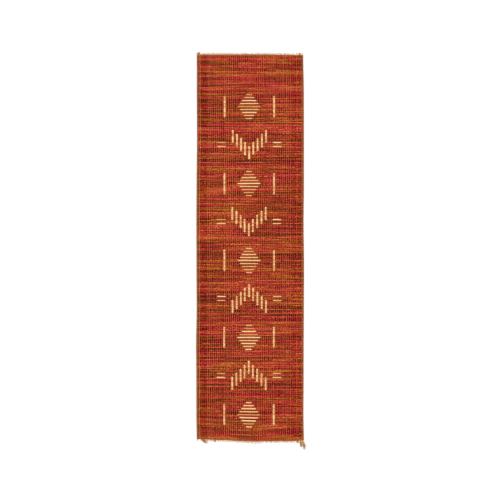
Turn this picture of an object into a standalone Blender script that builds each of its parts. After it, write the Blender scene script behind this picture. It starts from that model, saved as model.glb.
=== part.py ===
"""Rush runner rug: a flat mat of rushes woven across twine warps, with the cut warp ends at both of its ends.

Metres, +Z up and +Y along the rug. The underside lies on z = 0, and the overall bounds are centred on the origin.
"""

import random

import bmesh
import bpy

# Driving sizes, in metres
WIDTH = 0.600
LENGTH = 2.168
THICKNESS = 0.004
SIDE_ROUNDING = 0.0012
STRIP_DEPTH = 0.010
PARTING = 0.0003
WARPS = 52
STUB_WIDTH = 0.0024
STUB_HEIGHT = 0.0016
STUB_OUT = (0.0025, 0.0065)
STUB_LEAN = 0.0020
ROOT_DEPTH = 0.004
TIP_SHARE = 0.55
MM = 0.001

# How far the long sides stand out from straight lines: share of the length from the bottom, then millimetres
SIDE_WANDER = (
    # share, left, right
    (0.00, -1.2, 0.6),
    (0.07, 1.0, -1.9),
    (0.15, 1.2, -0.8),
    (0.25, 2.4, -0.4),
    (0.34, -0.6, 0.6),
    (0.45, 0.4, 1.4),
    (0.57, 1.0, -1.0),
    (0.66, 0.0, 0.8),
    (0.78, -2.6, 0.8),
    (0.90, -1.6, 0.5),
    (1.00, -1.4, -3.2),
)

# How far the woven ends stand out from straight lines: share of the width from the left, then millimetres
END_BOW = (
    # share, top, bottom
    (0.00, -0.4, -9.6),
    (0.10, 0.6, -8.4),
    (0.18, 0.8, -4.6),
    (0.28, 1.2, -4.2),
    (0.38, 0.2, 0.2),
    (0.47, 1.4, 2.6),
    (0.55, 0.8, 5.2),
    (0.65, 0.6, 2.2),
    (0.80, -1.4, 1.8),
    (0.92, -2.2, 1.0),
    (1.00, -3.0, -2.8),
)

# Warp ends that were left long: the end they leave, root from the left side, reach outwards, reach to the
# right, how far the middle bows outwards, and width, all in millimetres
LONG_ENDS = (
    # end, root, outwards, to the right, bow, width
    ("bottom", 21, 15.0, 35.0, 1.5, 3.0),
    ("bottom", 92, 6.5, 14.0, 1.0, 2.6),
    ("bottom", 560, 8.0, 9.0, 1.0, 2.4),
    ("bottom", 582, 31.0, 2.0, 0.0, 2.6),
    ("bottom", 591, 39.0, 15.0, 2.0, 4.4),
    ("top", 9, 9.0, -3.0, 0.0, 2.6),
    ("top", 14, 12.0, 3.0, 0.0, 2.8),
    ("top", 574, 8.0, 4.0, 0.5, 2.6),
)


def smooth_read(table, column, share):
    """The table's value at a share of the way along, eased from each row to the next, in metres."""
    for start, end in zip(table, table[1:]):
        if share <= end[0]:
            way = (share - start[0]) / (end[0] - start[0])
            eased = way * way * (3 - 2 * way)
            return (start[column] + (end[column] - start[column]) * eased) * MM
    return table[-1][column] * MM


def left_side(y):
    return -WIDTH / 2 - smooth_read(SIDE_WANDER, 1, y / LENGTH + 0.5)


def right_side(y):
    return WIDTH / 2 + smooth_read(SIDE_WANDER, 2, y / LENGTH + 0.5)


def top_end(x):
    return LENGTH / 2 + smooth_read(END_BOW, 1, x / WIDTH + 0.5)


def bottom_end(x):
    return -LENGTH / 2 - smooth_read(END_BOW, 2, x / WIDTH + 0.5)


def evenly(start, end, steps):
    return [start + (end - start) * i / steps for i in range(steps + 1)]


def woven_outline(low, high, side_steps, end_steps):
    """Points round the cloth between two end curves, low(x) and high(x), counter-clockwise."""
    bottom = low(-WIDTH / 2), low(WIDTH / 2)
    top = high(-WIDTH / 2), high(WIDTH / 2)
    corners_x = left_side(bottom[0]), right_side(bottom[1]), right_side(top[1]), left_side(top[0])
    points = [(x, low(x)) for x in evenly(corners_x[0], corners_x[1], end_steps)]
    points += [(right_side(y), y) for y in evenly(points[-1][1], high(corners_x[2]), side_steps)[1:]]
    points += [(x, high(x)) for x in evenly(corners_x[2], corners_x[3], end_steps)[1:]]
    points += [(left_side(y), y) for y in evenly(points[-1][1], points[0][1], side_steps)[1:-1]]
    return points


def tail_outline(root, way, width, bow):
    """A narrow tapering strip along a bent line from root, way (x, y) long, as points round it."""
    length = (way[0] ** 2 + way[1] ** 2) ** 0.5
    steps = 6 if length > 0.010 else 2
    outwards = 1 if way[1] > 0 else -1
    left, right = [], []
    for i in range(steps + 1):
        t = i / steps
        middle_x = root[0] + way[0] * t
        middle_y = root[1] + way[1] * t + outwards * bow * 4 * t * (1 - t)
        half = width / 2 * (1 - (1 - TIP_SHARE) * t)
        left.append((middle_x - half * abs(way[1]) / length, middle_y + outwards * half * way[0] / length))
        right.append((middle_x + half * abs(way[1]) / length, middle_y - outwards * half * way[0] / length))
    return left + right[::-1]


def flat_solid(name, outlines, height):
    """A mesh object of one or more flat outlines, raised from z = 0 to height."""
    curve = bpy.data.curves.new(name + "_outline", "CURVE")
    curve.dimensions = "2D"
    curve.fill_mode = "BOTH"
    curve.extrude = height / 2
    for outline in outlines:
        spline = curve.splines.new("POLY")
        spline.points.add(len(outline) - 1)
        for point, (x, y) in zip(spline.points, outline):
            point.co = (x, y, 0, 1)
        spline.use_cyclic_u = True
    drawn = bpy.data.objects.new(name + "_outline", curve)
    drawn.location.z = height / 2
    bpy.context.scene.collection.objects.link(drawn)
    graph = bpy.context.evaluated_depsgraph_get()
    mesh = bpy.data.meshes.new_from_object(drawn.evaluated_get(graph))
    mesh.transform(drawn.matrix_world)
    solid = bpy.data.objects.new(name, mesh)
    bpy.data.objects.remove(drawn)
    cleaned = bmesh.new()
    cleaned.from_mesh(mesh)
    bmesh.ops.remove_doubles(cleaned, verts=cleaned.verts, dist=0.00001)
    bmesh.ops.recalc_face_normals(cleaned, faces=cleaned.faces)
    cleaned.to_mesh(mesh)
    cleaned.free()
    mesh.name = name
    return solid


def round_long_sides(solid):
    """Rounds the rims that run along the long sides, where the rushes turn back."""

    def on_side(vertex):
        x, y = vertex.co.x, vertex.co.y
        return min(abs(x - left_side(y)), abs(x - right_side(y))) < 0.00001

    rims = bmesh.new()
    rims.from_mesh(solid.data)
    weight = rims.edges.layers.float.new("bevel_weight_edge")
    for edge in rims.edges:
        level = abs(edge.verts[0].co.z - edge.verts[1].co.z) < 0.00001
        sharp = edge.calc_face_angle() > 1
        edge[weight] = 1.0 if level and sharp and all(on_side(vertex) for vertex in edge.verts) else 0.0
    rims.to_mesh(solid.data)
    rims.free()
    bevel = solid.modifiers.new("turned rushes", "BEVEL")
    bevel.limit_method = "WEIGHT"
    bevel.width = SIDE_ROUNDING
    bevel.segments = 2


def warp_end_outlines(end, edge, outwards):
    """The cut end of each warp: short stubs, and the few that were left long."""
    chance = random.Random("rush " + end)
    outlines = []
    taken = []
    for where, root, out, across, bow, width in LONG_ENDS:
        if where != end:
            continue
        x = -WIDTH / 2 + root * MM
        start = edge(x) - outwards * ROOT_DEPTH
        way = across * MM, outwards * (out * MM + ROOT_DEPTH)
        outlines.append(tail_outline((x, start), way, width * MM, bow * MM))
        taken.append((min(x, x + way[0]), max(x, x + way[0])))
    for i in range(WARPS):
        x = -WIDTH / 2 + (i + 0.5) * WIDTH / WARPS
        out = chance.uniform(*STUB_OUT)
        lean = chance.uniform(-STUB_LEAN, STUB_LEAN)
        if any(low - STUB_WIDTH - STUB_LEAN < x < high + STUB_WIDTH + STUB_LEAN for low, high in taken):
            continue
        start = edge(x) - outwards * ROOT_DEPTH
        outlines.append(tail_outline((x, start), (lean, outwards * (out + ROOT_DEPTH)), STUB_WIDTH, 0))
    return outlines


def material(name, colour, roughness):
    made = bpy.data.materials.new(name)
    made.use_nodes = True
    shader = made.node_tree.nodes["Principled BSDF"]
    shader.inputs["Base Color"].default_value = (*colour, 1)
    shader.inputs["Roughness"].default_value = roughness
    shader.inputs["Metallic"].default_value = 0
    made.diffuse_color = (*colour, 1)
    return made


def build_mat(rug):
    def low(x):
        return bottom_end(x) + STRIP_DEPTH + PARTING

    def high(x):
        return top_end(x) - STRIP_DEPTH - PARTING

    mat = flat_solid("mat", [woven_outline(low, high, 48, 24)], THICKNESS)
    rug.objects.link(mat)
    round_long_sides(mat)
    mat.data.materials.append(material("dyed rush", (0.352, 0.058, 0.019), 0.7))
    return mat


def build_warp_ends(rug, cutters, end):
    """The last rows of weave at one end as a narrow strip, with the warp ends fused to it."""
    if end == "top":
        edge, outwards = top_end, 1
        outline = woven_outline(lambda x: top_end(x) - STRIP_DEPTH, top_end, 2, 24)
    else:
        edge, outwards = bottom_end, -1
        outline = woven_outline(bottom_end, lambda x: bottom_end(x) + STRIP_DEPTH, 2, 24)
    strip = flat_solid("warp_ends_" + end, [outline], THICKNESS)
    rug.objects.link(strip)
    round_long_sides(strip)
    ends = flat_solid("loose_ends_" + end, warp_end_outlines(end, edge, outwards), STUB_HEIGHT)
    ends.hide_render = True
    ends.display_type = "WIRE"
    cutters.objects.link(ends)
    joined = strip.modifiers.new("rooted ends", "BOOLEAN")
    joined.operation = "UNION"
    joined.object = ends
    strip.data.materials.append(material("warp twine " + end, (0.296, 0.110, 0.046), 0.85))
    return strip, ends


def centre_on_origin(pieces, helpers):
    """Moves all so that the overall bounds of the pieces are centred over the origin."""
    bpy.context.view_layer.update()
    graph = bpy.context.evaluated_depsgraph_get()
    corners = []
    for piece in pieces:
        shaped = piece.evaluated_get(graph)
        corners += [piece.matrix_world @ vertex.co for vertex in shaped.data.vertices]
    middle_x = (min(c.x for c in corners) + max(c.x for c in corners)) / 2
    middle_y = (min(c.y for c in corners) + max(c.y for c in corners)) / 2
    for thing in pieces + helpers:
        thing.location.x -= middle_x
        thing.location.y -= middle_y


for leftover in list(bpy.data.objects):
    bpy.data.objects.remove(leftover)
rug = bpy.data.collections.new("rush runner rug")
cutters = bpy.data.collections.new("cutters")
bpy.context.scene.collection.children.link(rug)
bpy.context.scene.collection.children.link(cutters)

mat = build_mat(rug)
top_strip, top_loose = build_warp_ends(rug, cutters, "top")
bottom_strip, bottom_loose = build_warp_ends(rug, cutters, "bottom")
centre_on_origin([mat, top_strip, bottom_strip], [top_loose, bottom_loose])
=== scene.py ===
"""The looks of a rush runner rug: dyed rushes woven across twine, an inlaid straw pattern and cut warp ends.

Metres, +Z up and +Y along the rug. Numbers that MM multiplies are in millimetres.
"""

import math
from random import Random

import bpy
import numpy as np
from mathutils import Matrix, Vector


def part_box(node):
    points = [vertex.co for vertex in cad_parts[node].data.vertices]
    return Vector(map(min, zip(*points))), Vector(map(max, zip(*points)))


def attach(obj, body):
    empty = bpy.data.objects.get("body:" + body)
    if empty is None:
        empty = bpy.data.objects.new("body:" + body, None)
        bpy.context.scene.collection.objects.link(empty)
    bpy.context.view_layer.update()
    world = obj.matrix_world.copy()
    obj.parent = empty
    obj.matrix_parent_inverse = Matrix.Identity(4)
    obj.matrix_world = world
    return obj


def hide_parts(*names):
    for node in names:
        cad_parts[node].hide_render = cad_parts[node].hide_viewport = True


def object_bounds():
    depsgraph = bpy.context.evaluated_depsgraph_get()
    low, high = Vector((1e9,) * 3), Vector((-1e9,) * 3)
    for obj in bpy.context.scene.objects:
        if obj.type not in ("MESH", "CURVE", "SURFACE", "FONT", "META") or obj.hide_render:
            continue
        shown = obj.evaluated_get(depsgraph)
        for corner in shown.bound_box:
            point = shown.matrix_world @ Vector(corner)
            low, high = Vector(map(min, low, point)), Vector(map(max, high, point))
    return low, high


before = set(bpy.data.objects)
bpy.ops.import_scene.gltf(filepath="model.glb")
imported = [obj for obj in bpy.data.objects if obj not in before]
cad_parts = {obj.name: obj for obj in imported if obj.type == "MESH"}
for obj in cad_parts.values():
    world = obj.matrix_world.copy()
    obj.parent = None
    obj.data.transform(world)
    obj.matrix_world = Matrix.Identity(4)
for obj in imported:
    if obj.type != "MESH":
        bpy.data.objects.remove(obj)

cad_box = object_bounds()

# The rushes
# Each row is one marsh rush, cut, dried, dyed by the bundle and laid in damp, so that it lies flattened. The
# twined warps pinch it, it swells between them, and at the sides it folds back into the next row. The sides
# of the cloth wander a little and its ends are bowed, as on the solids that the rushes replace.
MM = 0.001
WARPS, ROWS = 52, 387
mat_low, mat_high = (np.array(corner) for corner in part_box("mat"))
THICKNESS = mat_high[2] - mat_low[2]
MIDDLE_Z = (mat_low[2] + mat_high[2]) / 2
RIM_LEVELS = (0.6 * THICKNESS, 0.8 * THICKNESS)
UPPER_FACE = mat_high[2] - 0.05 * MM
NEARBY = 20 * MM
STATIONS = 60


def solid_points(node):
    return np.array([corner.co[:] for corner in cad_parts[node].data.vertices])


def side_reader(side):
    """x of one long side (-1 left, 1 right) for any y, read where the rim's rounding meets the side."""
    found = []
    for node in ("mat", "warp_ends_bottom", "warp_ends_top"):
        x, y, z = solid_points(node).T
        rim = (x * side > 0) & (z > RIM_LEVELS[0]) & (z < RIM_LEVELS[1])
        found.append(np.c_[y[rim], x[rim]])
    found = np.concatenate(found)
    found = found[np.argsort(found[:, 0])]
    return lambda y: np.interp(y, found[:, 0], found[:, 1])


def end_reader(node, outwards):
    """y of one woven end for any x, read off the outer rim of the strip's upper face."""
    x, y, z = solid_points(node).T
    upper = z > UPPER_FACE
    x, y = x[upper], y[upper]
    near = [y[np.abs(x - at) < NEARBY].mean() for at in x]
    outer = outwards * y > outwards * np.array(near)
    order = np.argsort(x[outer])
    return lambda at: np.interp(at, x[outer][order], y[outer][order])


left_side, right_side = side_reader(-1), side_reader(1)
bottom_end, top_end = end_reader("warp_ends_bottom", -1), end_reader("warp_ends_top", 1)
stations = np.linspace(mat_low[1], mat_high[1], STATIONS)
WIDTH = float(np.mean(right_side(stations) - left_side(stations)))
MIDDLE_X = float(np.mean(right_side(stations) + left_side(stations)) / 2)
stations = MIDDLE_X + np.linspace(-WIDTH / 2, WIDTH / 2, STATIONS)
LENGTH = float(np.mean(top_end(stations) - bottom_end(stations)))
MIDDLE_Y = float(np.mean(top_end(stations) + bottom_end(stations)) / 2)
ROW_PITCH = LENGTH / ROWS
BOW_DIES_OUT = 0.2


def on_cloth(warp, row):
    """Points (x, y) of the cloth, counted in warps from the left side and in rows from the bottom end."""
    share = warp / WARPS
    x = MIDDLE_X + (share - 0.5) * WIDTH
    low, high = MIDDLE_Y - LENGTH / 2, MIDDLE_Y + LENGTH / 2
    near_bottom = np.clip(1 - row / ROWS / BOW_DIES_OUT, 0, 1) ** 2
    near_top = np.clip(1 - (1 - row / ROWS) / BOW_DIES_OUT, 0, 1) ** 2
    y = low + row * ROW_PITCH + near_bottom * (bottom_end(x) - low) + near_top * (top_end(x) - high)
    return left_side(y) + share * (right_side(y) - left_side(y)), y


def drift(chance, count, points, knots, size):
    """A smooth random wander for each of count strands: knots random values, eased between."""
    values = chance.normal(0, size, (count, knots))
    at = np.linspace(0, knots - 1, points)
    first = np.minimum(at.astype(int), knots - 2)
    way = at - first
    way = way * way * (3 - 2 * way)
    return values[:, first] * (1 - way) + values[:, first + 1] * way


# Where the warps and the rows lie, counted in their own spacing. Each warp stands a little off its place.
# Warps and rows wander in groups, all but the outermost. Up the rug the rows get ahead by up to a third of
# one, which the last 40 make up for.
WARP_OFF, WARP_OFF_MOST, WARPS_WANDER = 0.05, 0.12, 0.12
ROWS_WANDER, ROWS_EVEN, OUTER_ROW_IN = 0.05, 9, 0.15
ROWS_AHEAD, ROWS_MAKING_UP = 0.35, 40
spacing = np.random.default_rng(5)
off_place = np.clip(spacing.normal(0, WARP_OFF, WARPS), -WARP_OFF_MOST, WARP_OFF_MOST)
WARP_PLACES = np.arange(WARPS) + 0.5 + off_place
WARP_PLACES[1:-1] += drift(spacing, 1, WARPS, knots=7, size=WARPS_WANDER)[0, 1:-1]
ROW_PLACES = np.arange(ROWS) + 0.5
wander = drift(spacing, 1, ROWS, knots=40, size=ROWS_WANDER)[0]
ROW_PLACES[ROWS_EVEN:-ROWS_EVEN] += wander[ROWS_EVEN:-ROWS_EVEN]
ROW_PLACES += ROWS_AHEAD * ROW_PLACES / ROWS * np.clip((ROWS - ROW_PLACES) / ROWS_MAKING_UP, 0, 1)
ROW_PLACES[[0, -1]] += OUTER_ROW_IN, -OUTER_ROW_IN


def strands(name, lines, width, depth, section, numbers, slot):
    """One piece of closed strands. lines is (strand, point, xyz), and width and depth are (strand, point).

    The map "strand" holds the metres along a strand, and its number plus the share of the way round it. The
    map "OFBake" lays each strand out flat in a band of its own.
    """
    count, points, around = lines.shape[0], lines.shape[1], len(section)
    heading = np.gradient(lines, axis=1)
    heading /= np.linalg.norm(heading, axis=2, keepdims=True)
    sideways = np.cross((0, 0, 1), heading)
    sideways /= np.linalg.norm(sideways, axis=2, keepdims=True)
    upwards = np.cross(heading, sideways)
    aside, above = np.array(section).T / 2
    corners = lines[:, :, None] + sideways[:, :, None] * (width[..., None] * aside)[..., None]
    corners = corners + upwards[:, :, None] * (depth[..., None] * above)[..., None]
    index = np.arange(count * points * around).reshape(count, points, around)
    after = np.roll(index, -1, axis=2)
    quads = np.stack([index[:, :-1], after[:, :-1], after[:, 1:], index[:, 1:]], axis=-1).reshape(-1, 4)
    caps = np.concatenate([index[:, 0, ::-1], index[:, -1]])
    loops = np.concatenate([quads.ravel(), caps.ravel()]).astype(np.int32)
    starts = np.concatenate([np.arange(len(quads)) * 4, len(quads) * 4 + np.arange(len(caps)) * around])
    mesh = bpy.data.meshes.new(name)
    mesh.vertices.add(count * points * around)
    mesh.vertices.foreach_set("co", corners.astype(np.float32).ravel())
    mesh.loops.add(len(loops))
    mesh.loops.foreach_set("vertex_index", loops)
    mesh.polygons.add(len(starts))
    mesh.polygons.foreach_set("loop_start", starts.astype(np.int32))
    mesh.update(calc_edges=True)
    reach = np.zeros((count, points))
    reach[:, 1:] = np.linalg.norm(np.diff(lines, axis=1), axis=2).cumsum(axis=1)
    for map_name, along, number, band, slack in (
        ("strand", reach, np.asarray(numbers, float), 1.0, 0.01),
        ("OFBake", reach / reach.max(), np.arange(count) / count, 1 / count, 0.06 / count),
    ):
        turn = slack + (band - 2 * slack) * np.arange(around + 1) / around
        low = np.broadcast_to((number[:, None] + turn[:-1])[:, None], (count, points - 1, around))
        high = np.broadcast_to((number[:, None] + turn[1:])[:, None], low.shape)
        here = np.broadcast_to(along[:, :-1, None], low.shape)
        there = np.broadcast_to(along[:, 1:, None], low.shape)
        sides = (here, low), (here, high), (there, high), (there, low)
        sides = np.stack([np.stack(side, axis=-1) for side in sides], axis=3)
        cap_along = np.repeat(np.concatenate([along[:, :1], along[:, -1:]]), around, axis=1)
        cap_turn = np.tile(number[:, None] + turn[:-1], (2, 1))
        flat = [sides.ravel(), np.stack([cap_along, cap_turn], axis=-1).ravel()]
        mesh.uv_layers.new(name=map_name).uv.foreach_set("vector", np.concatenate(flat).astype(np.float32))
    mesh.uv_layers.active = mesh.uv_layers["strand"]
    mesh.shade_smooth()
    piece = bpy.data.objects.new(name, mesh)
    bpy.context.scene.collection.objects.link(piece)
    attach(piece, "root")
    return piece


# A rush is wide and deep between the warps, and pinched at each. FOLD goes round the end that turns back,
# from its furthest point in: the degrees round it, and how many times FOLD_WIDTH the rush is wide there.
RUSH_WIDTH, RUSH_DEPTH = 6.7 * MM, 2.9 * MM
PINCHED_WIDTH_SHARE, PINCHED_DEPTH = 0.94, 1.7 * MM
THINNER_MOST, THICKER_MOST = -0.05, 0.08
FOLD = ((97, 1.2), (80, 1.25), (60, 1.4), (40, 1.6), (20, 1.9))
FOLD_WIDTH, FOLD_DEPTH_SHARE, FOLD_CLEARANCE = 2.8 * MM, 0.8, 0.4 * MM
FOLD_PROUD, FOLD_ROUNDNESS, FOLD_FROM_END = 0.6 * MM, 0.45, 0.7 * MM
FOUR_SIDED = ((1, 0), (0, 1), (-1, 0), (0, -1))


def rush_rows(first, last):
    """Lines, widths and depths of the rushes from row first up to last, folded over at both ends."""
    chance = np.random.default_rng(first)
    row = np.arange(first, last)[:, None]
    between = (WARP_PLACES[1:] + WARP_PLACES[:-1]) / 2
    warp = np.sort(np.concatenate([WARP_PLACES, between]))[None]
    shift = drift(chance, len(row), warp.shape[1], knots=6, size=0.03)
    x, y = on_cloth(warp, ROW_PLACES[row] + shift)
    degrees, swell = np.array(FOLD).T
    turn = np.radians(degrees)
    radius = ROW_PITCH / 2
    ends = []
    for warp_at, side, way in ((0.0, -1, -np.cos(math.pi * row)), (WARPS, 1, np.cos(math.pi * row))):
        edge_x, edge_y = on_cloth(np.full(row.shape, warp_at), ROW_PLACES[row])
        inwards = FOLD_WIDTH / 2 - FOLD_PROUD + FOLD_ROUNDNESS * radius * (1 - np.sin(turn))
        arc_x = edge_x - side * inwards
        arc_y = edge_y + way * radius * (1 - np.cos(turn))
        arc_y = np.clip(arc_y, bottom_end(arc_x) + FOLD_FROM_END, top_end(arc_x) - FOLD_FROM_END)
        ends.append(np.stack([arc_x, arc_y], axis=-1))
    lines = np.concatenate([ends[0], np.stack([x, y], axis=-1), ends[1][:, ::-1]], axis=1)
    lines = np.concatenate([lines, np.full((*lines.shape[:2], 1), MIDDLE_Z)], axis=2)
    pinched = np.arange(warp.shape[1])[None] % 2 == 0
    wide = RUSH_WIDTH * np.where(pinched, PINCHED_WIDTH_SHARE, 1.0) + 0 * x
    deep = np.where(pinched, PINCHED_DEPTH, RUSH_DEPTH) + 0 * x
    fold_wide = FOLD_WIDTH * swell + np.zeros((len(row), 1))
    fold_deep = np.minimum(FOLD_DEPTH_SHARE * fold_wide, THICKNESS - FOLD_CLEARANCE)
    width = np.concatenate([fold_wide, wide, fold_wide[:, ::-1]], axis=1)
    depth = np.concatenate([fold_deep, deep, fold_deep[:, ::-1]], axis=1)
    uneven = 1 + np.clip(drift(chance, *width.shape, knots=14, size=0.06), THINNER_MOST, THICKER_MOST)
    return lines, width * uneven, depth * uneven


def linear(colour):
    """An sRGB hex value as linear red, green, blue and a full alpha."""
    parts = [int(colour[i : i + 2], 16) / 255 for i in (1, 3, 5)]
    return tuple(c / 12.92 if c <= 0.04045 else ((c + 0.055) / 1.055) ** 2.4 for c in parts) + (1.0,)


def add_node(tree, kind, inputs, stops=(), **settings):
    """Adds a node. An input is a value, an output, or a node, which stands for its first output."""
    made = tree.nodes.new(kind)
    for name, value in settings.items():
        setattr(made, name, value)
    for name, value in inputs.items():
        if isinstance(value, (bpy.types.Node, bpy.types.NodeSocket)):
            tree.links.new(getattr(value, "outputs", [value])[0], made.inputs[name])
        else:
            made.inputs[name].default_value = value
    if stops:
        ramp = made.color_ramp.elements
        ramp[0].position, ramp[1].position = stops[0][0], stops[-1][0]
        for at, _ in stops[1:-1]:
            ramp.new(at)
        for stop, (_, colour) in zip(ramp, stops):
            stop.color = linear(colour)
    return made


# A Mix node takes its two colours at these inputs and gives the mixed one at this output
MIX_A, MIX_B, MIXED = 6, 7, 2


def empty_material(name):
    material = bpy.data.materials.new(name)
    material.use_nodes = True
    material.node_tree.nodes.clear()
    return material, material.node_tree


def strand_material(name):
    """An empty material for strands, with their map's metres along, number plus share round, and number."""
    material, tree = empty_material(name)
    strand_map = add_node(tree, "ShaderNodeUVMap", {}, uv_map="strand")
    strand = add_node(tree, "ShaderNodeSeparateXYZ", {"Vector": strand_map})
    along, around = strand.outputs["X"], strand.outputs["Y"]
    number = add_node(tree, "ShaderNodeMath", {0: around}, operation="FLOOR")
    return material, tree, along, around, number


# Rush dyed with aniline: a matt straw with fine grooves along it and hardly any gloss. Each rush took up the
# dye its own way, from crimson to orange, paler or darker by the bundle and along its length. The first and
# last rows and the folds at the sides are ochre. The joints between the rows, sunk below the rush tops, are
# darkened with painted shade, and so are the folds at the long sides. The real creases are finer than the
# picture shows, so they are drawn 4 mm long.
CRIMSON = ((0.0, "#520006"), (0.25, "#880218"), (0.5, "#B2042A"), (0.75, "#D22638"), (1.0, "#E25450"))
ORANGE = ((0.0, "#361600"), (0.25, "#6A3200"), (0.5, "#944A00"), (0.75, "#BA6408"), (1.0, "#DA8A28"))
OCHRE, OCHRE_AT_ENDS, OCHRE_AT_SIDES = "#C0681C", 0.65, 0.6
OCHRE_ROWS, OCHRE_FROM = 2, 1000
# The last two distances are where the painted shade of the folded long sides starts and where it is full.
OCHRE_STARTS, OCHRE_FULL, SIDE_SHADE_STARTS, SIDE_SHADE_FULL = 14 * MM, 6 * MM, 8 * MM, 2 * MM  # from a long side
BUNDLE_LENGTH, BUNDLE_HEIGHT, PATCH_LENGTH = 455 * MM, 111 * MM, 180 * MM
CREASE_LENGTH, CREASE_ROUND, GROOVE_LENGTH, GROOVE_PITCH = 4 * MM, 9 * MM, 25 * MM, 0.46 * MM
RUSH_GIRTH = 2 * (RUSH_WIDTH + RUSH_DEPTH)
TONE_SHIFT, TONE_OF_RUSH, TONE_OF_CREASE, TONE_OF_PATCH, TONE_OF_BUNDLE = -1.22, 0.68, 1.2, 1.0, 0.4
HUE_OF_PATCH, ALL_CRIMSON, ALL_ORANGE = 1.9, 0.91, 2.11
SPLICED_KEY, KEYS_APART = 0.37, 7.31
rush, tree, along, around, number = strand_material("dyed_rush")

# A row is one rush, or two where their splice falls within the rug. Each rush has a key of its own.
splice_at = add_node(tree, "ShaderNodeTexWhiteNoise", {"W": number}, noise_dimensions="1D")
spliced = add_node(tree, "ShaderNodeMath", {0: along, 1: splice_at}, operation="GREATER_THAN")
key = add_node(tree, "ShaderNodeMath", {0: spliced, 1: SPLICED_KEY, 2: number}, operation="MULTIPLY_ADD")
own = add_node(tree, "ShaderNodeTexWhiteNoise", {"W": key}, noise_dimensions="1D")
apart = add_node(tree, "ShaderNodeMath", {0: key, 1: KEYS_APART}, operation="MULTIPLY")

# Its tone adds up from the rush itself, creases, patches along it and the bundles over many rows.
far = add_node(tree, "ShaderNodeMath", {0: along, 1: 1 / PATCH_LENGTH}, operation="MULTIPLY")
far_place = add_node(tree, "ShaderNodeCombineXYZ", {"X": far, "Y": apart})
patchy = add_node(
    tree, "ShaderNodeTexNoise", {"Vector": far_place, "Scale": 1.0, "Detail": 0.0}, noise_dimensions="2D"
)
place = add_node(tree, "ShaderNodeTexCoord", {})
bundle_place = add_node(
    tree,
    "ShaderNodeVectorMath",
    {0: place.outputs["Object"], 1: (1 / BUNDLE_LENGTH, 1 / BUNDLE_HEIGHT, 0.0)},
    operation="MULTIPLY",
)
bundle = add_node(
    tree, "ShaderNodeTexNoise", {"Vector": bundle_place, "Scale": 1.0, "Detail": 2.0}, noise_dimensions="2D"
)
near = add_node(tree, "ShaderNodeMath", {0: along, 1: 1 / CREASE_LENGTH}, operation="MULTIPLY")
near_round = add_node(
    tree, "ShaderNodeMath", {0: around, 1: RUSH_GIRTH / CREASE_ROUND, 2: apart}, operation="MULTIPLY_ADD"
)
near_place = add_node(tree, "ShaderNodeCombineXYZ", {"X": near, "Y": near_round})
creased = add_node(
    tree, "ShaderNodeTexNoise", {"Vector": near_place, "Scale": 1.0, "Detail": 1.0}, noise_dimensions="2D"
)
tone = TONE_SHIFT
for part, weight in (
    (own, TONE_OF_RUSH),
    (creased, TONE_OF_CREASE),
    (patchy, TONE_OF_PATCH),
    (bundle, TONE_OF_BUNDLE),
):
    tone = add_node(tree, "ShaderNodeMath", {0: part, 1: weight, 2: tone}, operation="MULTIPLY_ADD")

# Its hue lies between crimson and orange, by the rush and by its patches, and turns to ochre at the edges.
red = add_node(tree, "ShaderNodeValToRGB", {"Fac": tone}, stops=CRIMSON)
yellow = add_node(tree, "ShaderNodeValToRGB", {"Fac": tone}, stops=ORANGE)
own_hue = add_node(tree, "ShaderNodeSeparateColor", {"Color": own.outputs["Color"]})
patchy_hue = add_node(tree, "ShaderNodeSeparateColor", {"Color": patchy.outputs["Color"]})
hue = add_node(
    tree,
    "ShaderNodeMath",
    {0: patchy_hue.outputs["Green"], 1: HUE_OF_PATCH, 2: own_hue.outputs["Green"]},
    operation="MULTIPLY_ADD",
)
hue = add_node(tree, "ShaderNodeMapRange", {"Value": hue, "From Min": ALL_CRIMSON, "From Max": ALL_ORANGE})
dye = add_node(tree, "ShaderNodeMix", {"Factor": hue, MIX_A: red, MIX_B: yellow}, data_type="RGBA")
position = add_node(tree, "ShaderNodeSeparateXYZ", {"Vector": place.outputs["Object"]})
from_middle = add_node(tree, "ShaderNodeMath", {0: position.outputs["X"], 1: MIDDLE_X}, operation="SUBTRACT")
from_middle = add_node(tree, "ShaderNodeMath", {0: from_middle}, operation="ABSOLUTE")
ochre_side = add_node(
    tree,
    "ShaderNodeMapRange",
    {
        "Value": from_middle,
        "From Min": WIDTH / 2 - OCHRE_STARTS,
        "From Max": WIDTH / 2 - OCHRE_FULL,
        "To Max": OCHRE_AT_SIDES,
    },
)
ochre_end = add_node(tree, "ShaderNodeMath", {0: number, 1: OCHRE_FROM - 0.5}, operation="GREATER_THAN")
ochre_end = add_node(tree, "ShaderNodeMath", {0: ochre_end, 1: OCHRE_AT_ENDS}, operation="MULTIPLY")
ochre = add_node(tree, "ShaderNodeMath", {0: ochre_side, 1: ochre_end}, operation="MAXIMUM")
dye = add_node(
    tree,
    "ShaderNodeMix",
    {"Factor": ochre, MIX_A: dye.outputs[MIXED], MIX_B: linear(OCHRE)},
    data_type="RGBA",
)

# Its lightness varies with the grooves and the creases, and painted shade darkens it in the joints and at
# the sides.
grooves = add_node(tree, "ShaderNodeMath", {0: around, 1: RUSH_GIRTH / GROOVE_PITCH}, operation="MULTIPLY")
grain_along = add_node(tree, "ShaderNodeMath", {0: along, 1: 1 / GROOVE_LENGTH}, operation="MULTIPLY")
grain_place = add_node(tree, "ShaderNodeCombineXYZ", {"X": grain_along, "Y": grooves})
grain = add_node(
    tree, "ShaderNodeTexNoise", {"Vector": grain_place, "Scale": 1.0, "Detail": 3.0}, noise_dimensions="2D"
)
lightness = add_node(
    tree,
    "ShaderNodeMapRange",
    {"Value": grain, "From Min": 0.3, "From Max": 0.7, "To Min": 0.84, "To Max": 1.16},
)
crease = add_node(
    tree,
    "ShaderNodeMapRange",
    {"Value": creased, "From Min": 0.25, "From Max": 0.75, "To Min": 0.3, "To Max": 1.64},
)
off_middle = add_node(tree, "ShaderNodeMath", {0: position.outputs["Z"], 1: MIDDLE_Z}, operation="SUBTRACT")
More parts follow.
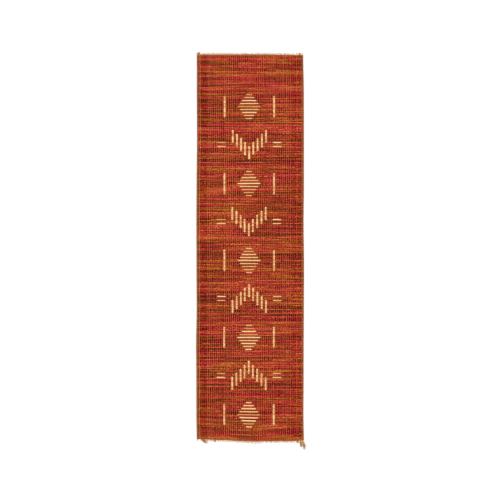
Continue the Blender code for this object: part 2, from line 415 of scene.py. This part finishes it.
off_middle = add_node(tree, "ShaderNodeMath", {0: off_middle}, operation="ABSOLUTE")
# Painted shade in the joints: the nearer a point of the rush lies to the middle plane, the darker it is.
joint_shade = add_node(
    tree,
    "ShaderNodeMapRange",
    {"Value": off_middle, "From Min": 0.2 * MM, "From Max": 0.95 * MM, "To Min": 0.35, "To Max": 1.0},
    interpolation_type="SMOOTHSTEP",
)
# Painted shade on the folds at the long sides, where they turn down out of the light.
side = add_node(
    tree,
    "ShaderNodeMapRange",
    {
        "Value": from_middle,
        "From Min": WIDTH / 2 - SIDE_SHADE_STARTS,
        "From Max": WIDTH / 2 - SIDE_SHADE_FULL,
        "To Min": 1.0,
        "To Max": 0.7,
    },
)
for part in (crease, joint_shade, side):
    lightness = add_node(tree, "ShaderNodeMath", {0: lightness, 1: part}, operation="MULTIPLY")
# The base colour is the dye times this lightness, painted shade included.
dyed_and_shaded = add_node(
    tree, "ShaderNodeVectorMath", {0: dye.outputs[MIXED], "Scale": lightness}, operation="SCALE"
)
rough = add_node(tree, "ShaderNodeMapRange", {"Value": grain, "To Min": 0.55, "To Max": 0.8})
bump = add_node(tree, "ShaderNodeBump", {"Height": grain, "Strength": 0.5, "Distance": 0.3 * MM})
shader = add_node(
    tree,
    "ShaderNodeBsdfPrincipled",
    {"Base Color": dyed_and_shaded, "Roughness": rough, "Normal": bump, "Specular IOR Level": 0.03},
)
add_node(tree, "ShaderNodeOutputMaterial", {"Surface": shader})

BANDS = {"bottom": (0, 129), "middle": (129, 258), "top": (258, ROWS)}
for part, (first, last) in BANDS.items():
    outermost = [min(row, ROWS - 1 - row) < OCHRE_ROWS for row in range(first, last)]
    numbers = np.arange(first, last) + OCHRE_FROM * np.array(outermost)
    band = strands("rushes_" + part, *rush_rows(first, last), FOUR_SIDED, numbers, "dyed_rush")
    band.data.materials.append(rush)
    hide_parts("mat")

# The warp
# Each warp is a pair of plant-fibre threads, stretched along the loom. They swap places between the rushes,
# one over and one under, so that every rush is caught in a twist and shows one short slanting stitch on it.
TWINE_WIDTH, TWINE_LIFT, TWINE_SLANT = 2.0 * MM, 1.2 * MM, 0.45 * MM
TWINE_UNEVEN, TWINE_UNEVEN_MOST = 0.15, 0.3
STITCH_HALF = 0.3  # of a row
THREE_SIDED = ((0, 1), (-0.87, -0.5), (0.87, -0.5))


def twine_pairs(warps):
    """Lines, widths and depths of both threads of the given warps, the one on top in the first row first."""
    chance = np.random.default_rng(1000 + warps[0])
    warp, phase = np.repeat(warps, 2)[:, None], np.tile([0, 1], len(warps))[:, None]
    row = (ROW_PLACES[:, None] + np.array([-STITCH_HALF, STITCH_HALF])).ravel()[None]
    count, points = len(warp), row.shape[1]
    above = np.cos(math.pi * (np.repeat(np.arange(ROWS), 2)[None] + phase))
    onwards = np.tile([-1, 1], ROWS)[None]
    wander = np.repeat(drift(chance, len(warps), points, knots=40, size=0.03), 2, axis=0)
    x, y = on_cloth(WARP_PLACES[warp] + wander, np.broadcast_to(row, (count, points)))
    x = x + TWINE_SLANT * above * onwards
    uneven = np.clip(chance.normal(0, TWINE_UNEVEN, (count, ROWS)), -TWINE_UNEVEN_MOST, TWINE_UNEVEN_MOST)
    width = TWINE_WIDTH * np.repeat(1 + uneven, 2, axis=1)
    return np.stack([x, y, MIDDLE_Z + TWINE_LIFT * above], axis=-1), width, width


# Jute twine: dull and hairy, with painted shade in the slanting grooves between its two plies, whose height
# also gives the bump.
# It is tan with a blush of the rushes' dye. KINDS has the others: dyed, olive and straw-coloured warps near
# the sides, and the golden cut ends, short and long. A thread's number tells its kind by the hundreds.
TWIST_PITCH, WORN_LENGTH = 5 * MM, 4 * MM
NATURAL = ((0.1, "#962A0E"), (0.4, "#DC6A3C"), (0.65, "#F28654"), (0.9, "#FEB284"))
KINDS = ((0.2, "#CC5630"), (0.4, "#A8883C"), (0.6, "#E8C078"), (0.8, "#F2B05A"), (1.0, "#CE8E3C"))
KIND_APART = 100
THREAD_TONE_SHIFT, TONE_OF_THREAD, TONE_OF_WEAR = -0.5, 0.2, 1.9
twine, tree, along, around, number = strand_material("jute_twine")
turns = add_node(
    tree, "ShaderNodeMath", {0: along, 1: 1 / TWIST_PITCH, 2: around}, operation="MULTIPLY_ADD"
)
angle = add_node(tree, "ShaderNodeMath", {0: turns, 1: 2 * math.pi}, operation="MULTIPLY")
ply = add_node(tree, "ShaderNodeMath", {0: angle}, operation="SINE")
own = add_node(tree, "ShaderNodeTexWhiteNoise", {"W": number}, noise_dimensions="1D")
worn_along = add_node(tree, "ShaderNodeMath", {0: along, 1: 1 / WORN_LENGTH}, operation="MULTIPLY")
worn_place = add_node(tree, "ShaderNodeCombineXYZ", {"X": worn_along, "Y": number})
worn = add_node(
    tree, "ShaderNodeTexNoise", {"Vector": worn_place, "Scale": 1.0, "Detail": 3.0}, noise_dimensions="2D"
)
tone = THREAD_TONE_SHIFT
for part, weight in ((own, TONE_OF_THREAD), (worn, TONE_OF_WEAR)):
    tone = add_node(tree, "ShaderNodeMath", {0: part, 1: weight, 2: tone}, operation="MULTIPLY_ADD")
natural = add_node(tree, "ShaderNodeValToRGB", {"Fac": tone}, stops=NATURAL)
kind = add_node(tree, "ShaderNodeMath", {0: number, 1: 1 / KIND_APART}, operation="MULTIPLY")
kind = add_node(tree, "ShaderNodeMath", {0: kind}, operation="FLOOR")
kind = add_node(tree, "ShaderNodeMath", {0: kind, 1: 1 / len(KINDS)}, operation="MULTIPLY")
special = add_node(tree, "ShaderNodeValToRGB", {"Fac": kind}, stops=KINDS)
weathered = add_node(tree, "ShaderNodeMapRange", {"Value": own, "To Min": 0.75, "To Max": 1.1})
special = add_node(tree, "ShaderNodeVectorMath", {0: special, "Scale": weathered}, operation="SCALE")
is_special = add_node(
    tree, "ShaderNodeMath", {0: kind, 1: KINDS[0][0] / 2}, operation="GREATER_THAN"
)
colour = add_node(
    tree, "ShaderNodeMix", {"Factor": is_special, MIX_A: natural, MIX_B: special}, data_type="RGBA"
)
# Painted shade: the twine is darker where its plies' height is low, in the grooves between them.
ply_shade = add_node(
    tree,
    "ShaderNodeMapRange",
    {"Value": ply, "From Min": -1.0, "From Max": 1.0, "To Min": 0.74, "To Max": 1.02},
)
shaded = add_node(
    tree, "ShaderNodeVectorMath", {0: colour.outputs[MIXED], "Scale": ply_shade}, operation="SCALE"
)
bump = add_node(tree, "ShaderNodeBump", {"Height": ply, "Strength": 0.6, "Distance": 0.3 * MM})
shader = add_node(
    tree,
    "ShaderNodeBsdfPrincipled",
    {
        "Base Color": shaded,
        "Roughness": 0.9,
        "Normal": bump,
        "Specular IOR Level": 0.15,
        "Sheen Weight": 0.05,
    },
)
add_node(tree, "ShaderNodeOutputMaterial", {"Surface": shader})

THREADS = {"left": (0, 18), "middle": (18, 35), "right": (35, WARPS)}
SPECIAL_WARPS = ((2, 3, 4, 46, 47, 49), (50,), (1,))  # dyed, olive and straw-coloured
for part, (first, last) in THREADS.items():
    warps = np.arange(first, last)
    steps = sum(step * np.isin(warps, some) for step, some in enumerate(SPECIAL_WARPS, 1))
    numbers = np.repeat(warps + KIND_APART * steps, 2)
    threads = strands("warp_" + part, *twine_pairs(warps), THREE_SIDED, numbers, "warp_twine")
    threads.data.materials.append(twine)
    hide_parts("mat")

# The straw pattern
# Undyed straw laid on the rushes as the weaving goes on. A bar across the rug floats over several warps and
# is tucked in at both its ends, and a bar along it is a ladder of short straws, one over its warp on every
# row. Stepped lozenges and chevrons take turns up the middle, with bars beside them.
CENTRE_WARP = WARPS // 2 - 1
REPEATS, REPEAT_ROWS, FIRST_ROW = 4, 77, 14
LOZENGE_STEP, LOZENGE_REACHES = 3, (1, 2, 3, 4, 5, 4, 3, 2, 1)
CHEVRON_FOOT, CHEVRON_STEP, CHEVRON_TALL, CHEVRON_OUT = 37, 4, 12, (0, 2, 4, 6, 8)
POST_OUT, POST_ROWS = 12, (2, 22)
DASH_OUT, DASH_ROWS = (12, 15), (49, 53)

floats, rungs = [], []
for repeat in range(REPEATS + 1):
    foot = FIRST_ROW + repeat * REPEAT_ROWS
    for step, reach in enumerate(LOZENGE_REACHES):
        floats.append((foot + LOZENGE_STEP * step, CENTRE_WARP - reach, CENTRE_WARP + reach))
    columns = [(side * POST_OUT, *POST_ROWS) for side in (-1, 1)]
    if repeat < REPEATS:
        tallest = max(CHEVRON_OUT) // 2
        for out in CHEVRON_OUT:
            rise = out // 2 if repeat >= REPEATS / 2 else tallest - out // 2
            start = CHEVRON_FOOT + CHEVRON_STEP * rise
            columns += [(way, start, start + CHEVRON_TALL) for way in {-out, out}]
        for row in DASH_ROWS:
            floats.append((foot + row, CENTRE_WARP + DASH_OUT[0], CENTRE_WARP + DASH_OUT[1]))
            floats.append((foot + row, CENTRE_WARP - DASH_OUT[1], CENTRE_WARP - DASH_OUT[0]))
    for out, start, end in columns:
        rungs += [(row, CENTRE_WARP + out) for row in range(foot + start, foot + end + 1)]
floats, rungs = np.array(floats), np.array(sorted(rungs))

# Both kinds are narrower and thinner at the tips, by the shares of TIP. The tips lie TUCKED below the top of
# the solid that the rushes replace. The bars rise by RISE from there, steeper where ROUNDNESS is low.
# OVERHANG, OFF, TUCK_REACH and SPAN are in warps, and so is the first of SCATTER, whose second is in rows.
FLOAT_WIDTH, FLOAT_DEPTH, FLOAT_POINTS = 6.8 * MM, 1.3 * MM, 29
FLOAT_TUCKED, FLOAT_RISE, FLOAT_SAG = 1.6 * MM, 1.9 * MM, 0.2 * MM
FLOAT_OVERHANG, FLOAT_OFF, FLOAT_TUCK_REACH = 0.6, 0.1, 0.5
FLOAT_ROUNDNESS, FLOAT_TIP_WIDTH, FLOAT_TIP_DEPTH = 0.6, 0.7, 0.6
RUNG_WIDTH, RUNG_DEPTH, RUNG_POINTS = 6.4 * MM, 1.5 * MM, (0, 0.14, 0.32, 0.5, 0.68, 0.86, 1)
RUNG_TUCKED, RUNG_RISE, RUNG_UNEVEN, RUNG_SPAN = 2.2 * MM, 2.5 * MM, 0.08 * MM, 1.08
RUNG_ROUNDNESS, RUNG_TIP_WIDTH, RUNG_TIP_ROUNDNESS = 0.6, 0.4, 0.7
RUNG_SCATTER, RUNG_WIDTHS_VARY = (0.03, 0.05), 0.1
FLATTENED = ((1, 0), (0.62, 1), (-0.62, 1), (-1, 0), (-0.62, -1), (0.62, -1))


def float_lines():
    """Lines, widths and depths of the bars across, which sag a little between the warps."""
    chance = np.random.default_rng(31)
    way = np.linspace(0, 1, FLOAT_POINTS)
    row, first, last = floats.T[:, :, None]
    first = WARP_PLACES[first] - FLOAT_OVERHANG + chance.uniform(-FLOAT_OFF, FLOAT_OFF, first.shape)
    last = WARP_PLACES[last] + FLOAT_OVERHANG + chance.uniform(-FLOAT_OFF, FLOAT_OFF, last.shape)
    warp = first + (last - first) * way
    x, y = on_cloth(warp, ROW_PLACES[row] + drift(chance, *warp.shape, knots=3, size=0.04))
    tuck = np.minimum(1, np.minimum(way, 1 - way) * (last - first) / FLOAT_TUCK_REACH)
    tuck = tuck**FLOAT_ROUNDNESS
    sag = (1 + np.cos(2 * math.pi * warp)) / 2
    z = mat_high[2] - FLOAT_TUCKED + FLOAT_RISE * tuck - FLOAT_SAG * sag
    width = FLOAT_WIDTH * (FLOAT_TIP_WIDTH + (1 - FLOAT_TIP_WIDTH) * tuck)
    width = width * (1 + drift(chance, *warp.shape, knots=4, size=0.05))
    depth = FLOAT_DEPTH * (FLOAT_TIP_DEPTH + (1 - FLOAT_TIP_DEPTH) * tuck)
    return np.stack([x, y, z], axis=-1), width, depth


def rung_lines():
    """Lines, widths and depths of the short straws, which arch over one warp each."""
    chance = np.random.default_rng(32)
    way = np.array(RUNG_POINTS)
    row, warp = rungs.T[:, :, None]
    across = WARP_PLACES[warp] + (way - 0.5) * RUNG_SPAN + chance.normal(0, RUNG_SCATTER[0], row.shape)
    x, y = on_cloth(across, ROW_PLACES[row] + chance.normal(0, RUNG_SCATTER[1], row.shape) + 0 * across)
    arch = np.sin(math.pi * way)
    z = mat_high[2] - RUNG_TUCKED + RUNG_RISE * arch**RUNG_ROUNDNESS
    z = z + chance.normal(0, RUNG_UNEVEN, row.shape)
    full = RUNG_TIP_WIDTH + (1 - RUNG_TIP_WIDTH) * arch**RUNG_TIP_ROUNDNESS
    full = full * (1 + chance.normal(0, RUNG_WIDTHS_VARY, row.shape))
    return np.stack([x, y, z], axis=-1), RUNG_WIDTH * full, RUNG_DEPTH * (1 + full) / 2


# Undyed straw, split and dried: pale gold with a soft gloss, fine lines along the stalk and browner spots.
STRAW = ((0.2, "#AE6428"), (0.42, "#D48E4C"), (0.7, "#E4AA6C"), (1.0, "#F4C88E"))
LINE_LENGTH, LINE_PITCH = 16 * MM, 0.54 * MM
STRAW_TONE_SHIFT, TONE_OF_STRAW = -0.12, 0.7
STRAW_GIRTH = 2 * (FLOAT_WIDTH + FLOAT_DEPTH)
straw, tree, along, around, number = strand_material("undyed_straw")
own = add_node(tree, "ShaderNodeTexWhiteNoise", {"W": number}, noise_dimensions="1D")
line_along = add_node(tree, "ShaderNodeMath", {0: along, 1: 1 / LINE_LENGTH}, operation="MULTIPLY")
line_round = add_node(tree, "ShaderNodeMath", {0: around, 1: STRAW_GIRTH / LINE_PITCH}, operation="MULTIPLY")
line_place = add_node(tree, "ShaderNodeCombineXYZ", {"X": line_along, "Y": line_round})
stalk = add_node(
    tree, "ShaderNodeTexNoise", {"Vector": line_place, "Scale": 1.0, "Detail": 3.0}, noise_dimensions="2D"
)
tone = add_node(
    tree, "ShaderNodeMath", {0: own, 1: TONE_OF_STRAW, 2: STRAW_TONE_SHIFT}, operation="MULTIPLY_ADD"
)
tone = add_node(tree, "ShaderNodeMath", {0: tone, 1: stalk}, operation="ADD")
colour = add_node(tree, "ShaderNodeValToRGB", {"Fac": tone}, stops=STRAW)
rough = add_node(tree, "ShaderNodeMapRange", {"Value": stalk, "To Min": 0.4, "To Max": 0.65})
bump = add_node(tree, "ShaderNodeBump", {"Height": stalk, "Strength": 0.4, "Distance": 0.3 * MM})
shader = add_node(
    tree,
    "ShaderNodeBsdfPrincipled",
    {"Base Color": colour, "Roughness": rough, "Normal": bump, "Specular IOR Level": 0.3},
)
add_node(tree, "ShaderNodeOutputMaterial", {"Surface": shader})

for name, bars_made in (("straw_bars_across", float_lines()), ("straw_bars_along", rung_lines())):
    bars = strands(name, *bars_made, FLATTENED, range(len(bars_made[0])), "pale_straw")
    bars.data.materials.append(straw)

# The cut warp ends
# When the mat came off the loom its warps were cut close to the last row. Their plies have opened into short
# brushes on the floor, and a few were left long, most of all at the bottom right corner. The twine is the
# warps' own. The lengths of this section are in millimetres.
STUB_OUT, STUB_LEAN, STUB_WIDTH = (2.5, 6.5), 2.0, 2.4
ROOT_DEPTH, TIP_SHARE = 4.0, 0.55
LONG_ENDS = (
    # end, root from the left side, outwards, to the right, bow and width
    ("bottom", 21, 15.0, 35.0, 1.5, 3.0),
    ("bottom", 92, 6.5, 14.0, 1.0, 2.6),
    ("bottom", 560, 8.0, 9.0, 1.0, 2.4),
    ("bottom", 582, 31.0, 2.0, 0.0, 2.6),
    ("bottom", 591, 39.0, 15.0, 2.0, 4.4),
    ("top", 9, 9.0, -3.0, 0.0, 2.6),
    ("top", 14, 12.0, 3.0, 0.0, 2.8),
    ("top", 574, 8.0, 4.0, 0.5, 2.6),
)
# The plies beside each long end: shares of its length and width, and how far they spread, fan out and bow
PLIES, PLY_LENGTHS, PLY_WIDTH_SHARE = 9, (0.6, 1.0), 0.75
PLY_SPREAD, PLY_FAN, PLY_BOW = 1.5, 0.1, 0.8


def end_table(end):
    """A row for each warp end and ply: root x, ways across and outwards, bow and width, in metres."""
    chance = Random("rush " + end)
    left = MIDDLE_X - WIDTH / 2
    table = [
        [left + root * MM, across * MM, out * MM, bow * MM, width * MM]
        for where, root, out, across, bow, width in LONG_ENDS
        if where == end
    ]
    room = (STUB_WIDTH + STUB_LEAN) * MM
    taken = [(min(row[0], row[0] + row[1]) - room, max(row[0], row[0] + row[1]) + room) for row in table]
    for warp in range(WARPS):
        x = left + (warp + 0.5) * WIDTH / WARPS
        out, lean = chance.uniform(*STUB_OUT) * MM, chance.uniform(-STUB_LEAN, STUB_LEAN) * MM
        if not any(low < x < high for low, high in taken):
            table.append([x, lean, out, 0, STUB_WIDTH * MM])
    for x, across, out, bow, width in table[: len(taken)]:
        for _ in range(PLIES):
            spread, short = chance.gauss(0, 1), chance.uniform(*PLY_LENGTHS)
            table.append(
                [
                    x + spread * PLY_SPREAD * MM,
                    short * across + spread * PLY_FAN * out,
                    short * out - spread * PLY_FAN * across,
                    bow + chance.gauss(0, PLY_BOW) * MM,
                    PLY_WIDTH_SHARE * width,
                ]
            )
    return np.array(table)


# An end's depth and the height of its middle are shares of its width. Its root comes down to the floor from
# the middle of the weave. Fibres leave a stub from its middle on, and a long end and its plies all along.
# They fan out and bend by so many radians, and arch up off the floor. A long end's reach by a share of it.
STUBS_FROM, LONG_FROM = KIND_APART * (len(KINDS) - 1), KIND_APART * len(KINDS)
END_POINTS, STUB_MIDDLE, END_DEPTH, END_HEIGHT, ROOT_STEEPNESS = 9, 4, 0.62, 0.36, 2.2
FIBRES, FIBRE_POINTS, FIBRE_SHADES = 18, 4, 50
FIBRE_FAN, LONG_FIBRE_FAN, FIBRE_BEND = 0.55, 0.25, 0.4
FIBRE_REACH, LONG_FIBRE_SHARE, FIBRE_LENGTHS = 5.0, 0.3, (0.5, 1.5)
FIBRE_WIDTH, LONG_FIBRE_WIDTH, FIBRE_TAPER = 1.4, 1.0, 0.6
FIBRE_HEIGHT, FIBRE_LIFT, FIBRE_ARCH = 0.4, (0.3, 1.8), 2.6


def end_lines(end, edge, outwards, seed):
    """Lines and widths of one end's warp ends and their fibres, and where each warp end's numbers start."""
    chance = np.random.default_rng(seed)
    root, across, out, bow, thick = end_table(end).T[:, :, None]
    way = np.linspace(0, 1, END_POINTS)
    x = root + across * way
    y = edge(root) - outwards * ROOT_DEPTH * MM
    y = y + outwards * ((out + ROOT_DEPTH * MM) * way + bow * 4 * way * (1 - way))
    width = thick * (1 - (1 - TIP_SHARE) * way)
    z = mat_low[2] + END_HEIGHT * width + np.clip(1 - way * ROOT_STEEPNESS, 0, 1) * THICKNESS / 2
    twines = np.stack([x, y, z], axis=-1)
    is_long = out > STUB_OUT[1] * MM
    from_point = chance.integers(np.where(is_long, 0, STUB_MIDDLE), END_POINTS, (len(root), FIBRES))
    start = np.take_along_axis(twines, from_point[..., None], axis=1)
    fan = chance.normal(0, 1, start.shape[:2]) * np.where(is_long, LONG_FIBRE_FAN, FIBRE_FAN)
    fan = np.arctan2(outwards * out, across) + fan
    reach = np.where(is_long, LONG_FIBRE_SHARE * np.hypot(out, across), FIBRE_REACH * MM)
    reach = reach * chance.uniform(*FIBRE_LENGTHS, fan.shape)
    step = np.linspace(0, 1, FIBRE_POINTS)
    fan = fan[..., None] + chance.normal(0, FIBRE_BEND, fan.shape)[..., None] * step
    hop = np.stack([np.cos(fan), np.sin(fan), 0 * fan], axis=-1) * reach[..., None, None]
    fibres = start[:, :, None] + hop * step[:, None]
    lift = chance.uniform(*FIBRE_LIFT, reach.shape)[..., None] * MM * np.sin(FIBRE_ARCH * step)
    fibres[..., 2] = mat_low[2] + FIBRE_HEIGHT * MM + lift
    fibre_width = np.where(is_long, LONG_FIBRE_WIDTH, FIBRE_WIDTH)[..., None] * MM
    fibre_width = fibre_width * (1 - FIBRE_TAPER * step) + 0 * fibres[..., 0]
    numbers_from = np.where(is_long, LONG_FROM, STUBS_FROM)[:, 0]
    fibres = fibres.reshape(-1, FIBRE_POINTS, 3)
    return twines, width, fibres, fibre_width.reshape(-1, FIBRE_POINTS), numbers_from


for end, edge, outwards, seed in (("bottom", bottom_end, -1, 6), ("top", top_end, 1, 3)):
    twines, width, fibres, fibre_width, numbers_from = end_lines(end, edge, outwards, seed)
    numbers = numbers_from + np.arange(len(twines))
    ends = strands("cut_ends_" + end, twines, width, width * END_DEPTH, FLATTENED, numbers, "warp_twine")
    ends.data.materials.append(twine)
    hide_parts("warp_ends_" + end)
    numbers = np.repeat(numbers_from, FIBRES) + np.arange(len(fibres)) % FIBRE_SHADES
    plies = ("opened_plies_" + end, fibres, fibre_width, fibre_width, THREE_SIDED, numbers, "warp_twine")
    strands(*plies).data.materials.append(twine)

# The floor and the light
# A plain table of opal acrylic, lit a little from below, so that it stays white round the rug and the rug's
# shadows on it stay faint. Over it an even sky, with one wide and far lamp on the upper left for the relief.
FLOOR_HALF, FLOOR_BELOW = 12.0, 0.1 * MM
floor_mesh = bpy.data.meshes.new("floor")
floor_corners = [(x * FLOOR_HALF, y * FLOOR_HALF, 0) for x, y in ((-1, -1), (1, -1), (1, 1), (-1, 1))]
floor_mesh.from_pydata(floor_corners, [], [(0, 1, 2, 3)])
floor = bpy.data.objects.new("floor", floor_mesh)
floor.location.z = cad_box[0][2] - FLOOR_BELOW
bpy.context.scene.collection.objects.link(floor)
acrylic, tree = empty_material("opal_acrylic")
shader = add_node(
    tree,
    "ShaderNodeBsdfPrincipled",
    {
        "Base Color": linear("#BEBEBD"),
        "Roughness": 0.9,
        "Specular IOR Level": 0.2,
        "Emission Color": linear("#FFFFFF"),
        "Emission Strength": 0.4,
    },
)
add_node(tree, "ShaderNodeOutputMaterial", {"Surface": shader})
floor_mesh.materials.append(acrylic)

SKY, LAMP, LAMP_ANGLE, LAMP_TILT = 1.05, 0.8, 25, (-28, -30)
world = bpy.data.worlds.new("studio")
world.use_nodes = True
world.node_tree.nodes["Background"].inputs["Color"].default_value = linear("#FFFFFF")
world.node_tree.nodes["Background"].inputs["Strength"].default_value = SKY
bpy.context.scene.world = world
bpy.context.scene.view_settings.view_transform = "Standard"

lamp = bpy.data.lights.new("softbox", "SUN")
lamp.angle = math.radians(LAMP_ANGLE)
lamp.energy = LAMP
softbox = bpy.data.objects.new("softbox", lamp)
softbox.rotation_euler = (math.radians(LAMP_TILT[0]), math.radians(LAMP_TILT[1]), 0)
bpy.context.scene.collection.objects.link(softbox)

# The camera
# A long lens that looks straight down from over 6 m, so that the sides of the rug hardly show. The runner
# stands where the photograph has it, in a frame of 500 by 500 pixels.
FRAME_PIXELS, RUG_PIXELS, RUG_MIDDLE_PIXELS = 500, 107.0, (250.15, 247.65)
LENS, SENSOR = 85.0, 36.0
pixel = WIDTH / RUG_PIXELS
lens = bpy.data.cameras.new("camera")
lens.lens, lens.sensor_width = LENS, SENSOR
camera = bpy.data.objects.new("camera", lens)
camera.location = (
    MIDDLE_X + (FRAME_PIXELS / 2 - RUG_MIDDLE_PIXELS[0]) * pixel,
    MIDDLE_Y - (FRAME_PIXELS / 2 - RUG_MIDDLE_PIXELS[1]) * pixel,
    mat_high[2] + FRAME_PIXELS * pixel * LENS / SENSOR,
)
bpy.context.scene.collection.objects.link(camera)
bpy.context.scene.camera = camera
